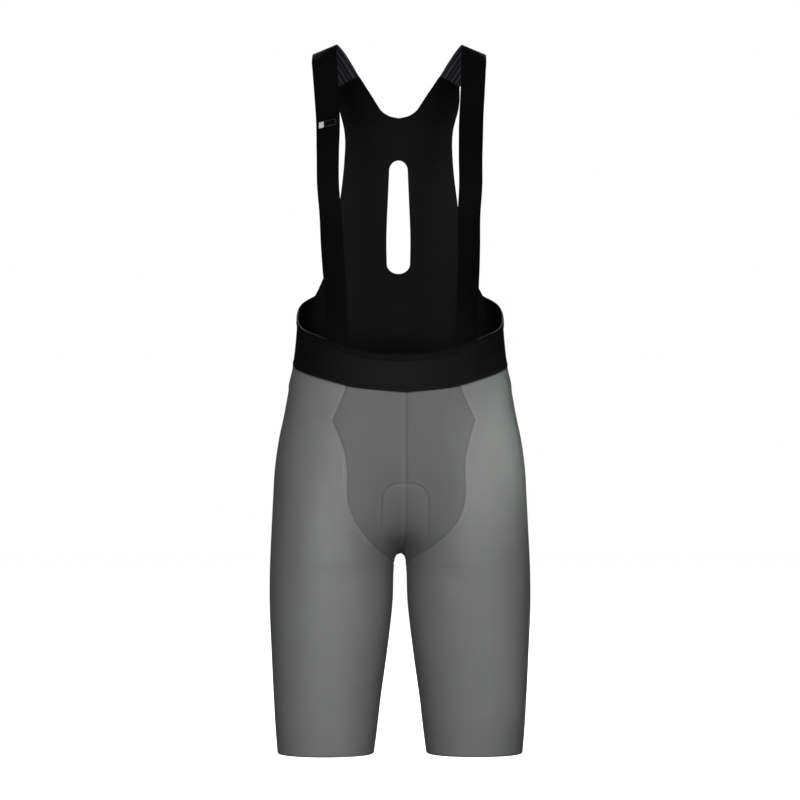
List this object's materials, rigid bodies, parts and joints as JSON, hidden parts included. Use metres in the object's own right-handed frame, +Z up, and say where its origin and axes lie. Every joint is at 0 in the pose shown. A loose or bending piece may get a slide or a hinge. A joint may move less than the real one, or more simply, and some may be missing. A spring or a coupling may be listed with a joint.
{
  "type": "bib shorts",
  "caption": "Filled-out cycling bib shorts: grey knit legs and front panels, black waistband, slotted black back panel and flat black shoulder straps.",
  "frame": {"origin": "midway between the undersides of the two straps at the top of the shoulders, where the wearer carries them", "axes": "+Z up; the garment's front faces -Y; +X is the wearer's left"},
  "size_m": [0.3466, 0.2481, 0.9413],
  "materials": {
    "leg_knit": "smooth matte grey stretch knit with a soft sheen",
    "panel_knit": "matte grey stretch knit, a little darker",
    "band_knit": "matte black stretch knit",
    "binding_tape": "matte black elastic binding",
    "back_knit": "matte black fine mesh knit",
    "strap_elastic": "matte black ribbed elastic, blue-grey stripes on its inner side",
    "pad_foam": "matte dark foam pad with a knit face",
    "label_tag": "plain woven tag"
  },
  "bodies": {
    "root": {"leg_left": "leg_knit", "leg_right": "leg_knit", "front_panel_left": "panel_knit", "front_panel_right": "panel_knit", "waistband_front": "band_knit", "waistband_binding": "binding_tape", "bib_back": "back_knit", "strap_left": "strap_elastic", "strap_right": "strap_elastic", "seat_pad": "pad_foam", "strap_label": "label_tag"}
  },
  "joints": []
}
